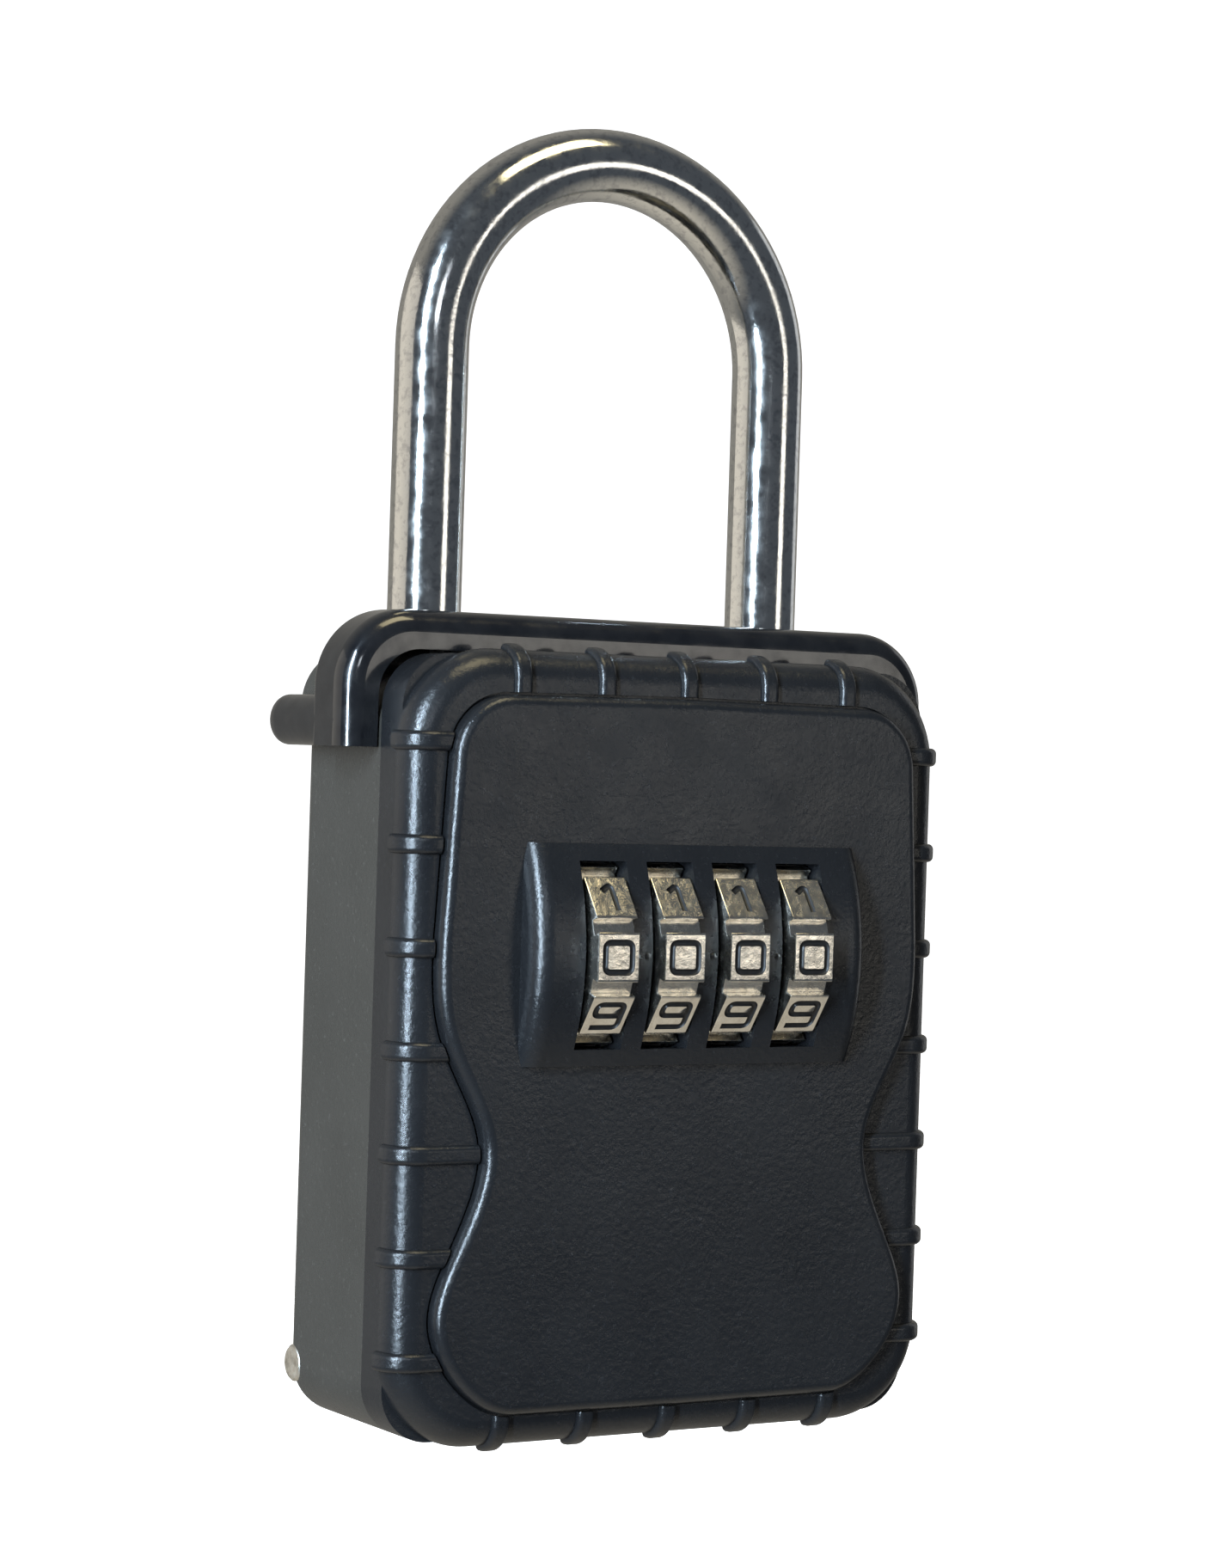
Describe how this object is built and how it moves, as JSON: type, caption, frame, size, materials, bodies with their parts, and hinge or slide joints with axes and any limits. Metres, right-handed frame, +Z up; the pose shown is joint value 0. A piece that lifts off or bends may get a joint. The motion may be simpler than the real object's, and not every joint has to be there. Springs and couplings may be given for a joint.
{
  "type": "key lock box",
  "caption": "Portable key lock box: a key container with numbered dials tilts on a rear casing that hangs from a U-shaped shackle, with a sliding hood that latches the container.",
  "frame": {"origin": "middle of the base: Z = 0 at the lowest ribs, X and Y = 0 at the middle of the bounding box", "axes": "+X right and +Y to the rear as seen from the front, +Z up through the shackle"},
  "size_m": [0.0916, 0.0436, 0.1759],
  "materials": {
    "casing": "satin black powder coat on cast zinc",
    "panel": "satin black powder coat on cast zinc",
    "plated_steel": "zinc plated pressed steel",
    "hood_gloss": "glossy black moulded vinyl over steel",
    "shackle_chrome": "polished chrome on hardened steel",
    "bright_steel": "bright turned steel",
    "dial_chrome": "warm nickel plate",
    "dial_core": "black moulded acetal"
  },
  "bodies": {
    "rear_body": {"rear_casing": "casing", "head_cover": "plated_steel", "head_cover_screws": "plated_steel"},
    "container": {"container_frame": "panel", "container_shell": "casing", "front_panel": "panel", "panel_screws": "plated_steel", "dial_chamber": "plated_steel", "chamber_screws": "plated_steel", "dial_spindle": "plated_steel", "spindle_clips": "plated_steel", "detent_spring": "plated_steel", "hinge_pin": "bright_steel", "reset_pivot": "plated_steel", "lock_bar_spring": "plated_steel"},
    "shackle_body": {"shackle": "shackle_chrome", "shackle_stop_ring": "plated_steel"},
    "shackle_lock": {"shackle_lock_plate": "plated_steel", "shackle_lock_knob": "plated_steel"},
    "hood": {"hood_cover": "hood_gloss", "hood_yoke": "plated_steel", "hood_guide_rods": "plated_steel", "yoke_screws": "plated_steel"},
    "lock_bar_body": {"lock_bar": "plated_steel"},
    "code_lever": {"reset_lever": "plated_steel"},
    "dial_1": {"dial_wheel_1": "dial_chrome", "code_disc_1": "dial_core"},
    "dial_2": {"dial_wheel_2": "dial_chrome", "code_disc_2": "dial_core"},
    "dial_3": {"dial_wheel_3": "dial_chrome", "code_disc_3": "dial_core"},
    "dial_4": {"dial_wheel_4": "dial_chrome", "code_disc_4": "dial_core"}
  },
  "joints": [
    {"name": "container_tilt", "type": "hinge", "parent": "rear_body", "child": "container", "pos_m": [0, 0.0169, 0.00825], "axis": [1, 0, 0], "range_deg": [0, 95]},
    {"name": "shackle_lift", "type": "slide", "parent": "rear_body", "child": "shackle_body", "axis": [0, 0, 1], "range_m": [0, 0.0096]},
    {"name": "shackle_lock_slide", "type": "slide", "parent": "rear_body", "child": "shackle_lock", "axis": [1, 0, 0], "range_m": [-0.0024, 0]},
    {"name": "hood_slide", "type": "slide", "parent": "rear_body", "child": "hood", "axis": [0, 0, 1], "range_m": [-0.0024, 0]},
    {"name": "lock_bar_slide", "type": "slide", "parent": "container", "child": "lock_bar_body", "axis": [0, 1, 0], "range_m": [-0.0012, 0.0011], "deforming": ["lock_bar_spring"]},
    {"name": "code_lever_turn", "type": "hinge", "parent": "container", "child": "code_lever", "pos_m": [0.012, 0.0105, 0.056], "axis": [0, 1, 0], "range_deg": [0, 90]},
    {"name": "dial_1_turn", "type": "hinge", "parent": "container", "child": "dial_1", "pos_m": [-0.01504, -0.0088, 0.0645], "axis": [1, 0, 0], "continuous": true},
    {"name": "dial_2_turn", "type": "hinge", "parent": "container", "child": "dial_2", "pos_m": [-0.00502, -0.0088, 0.0645], "axis": [1, 0, 0], "continuous": true},
    {"name": "dial_3_turn", "type": "hinge", "parent": "container", "child": "dial_3", "pos_m": [0.00502, -0.0088, 0.0645], "axis": [1, 0, 0], "continuous": true},
    {"name": "dial_4_turn", "type": "hinge", "parent": "container", "child": "dial_4", "pos_m": [0.01504, -0.0088, 0.0645], "axis": [1, 0, 0], "continuous": true}
  ]
}
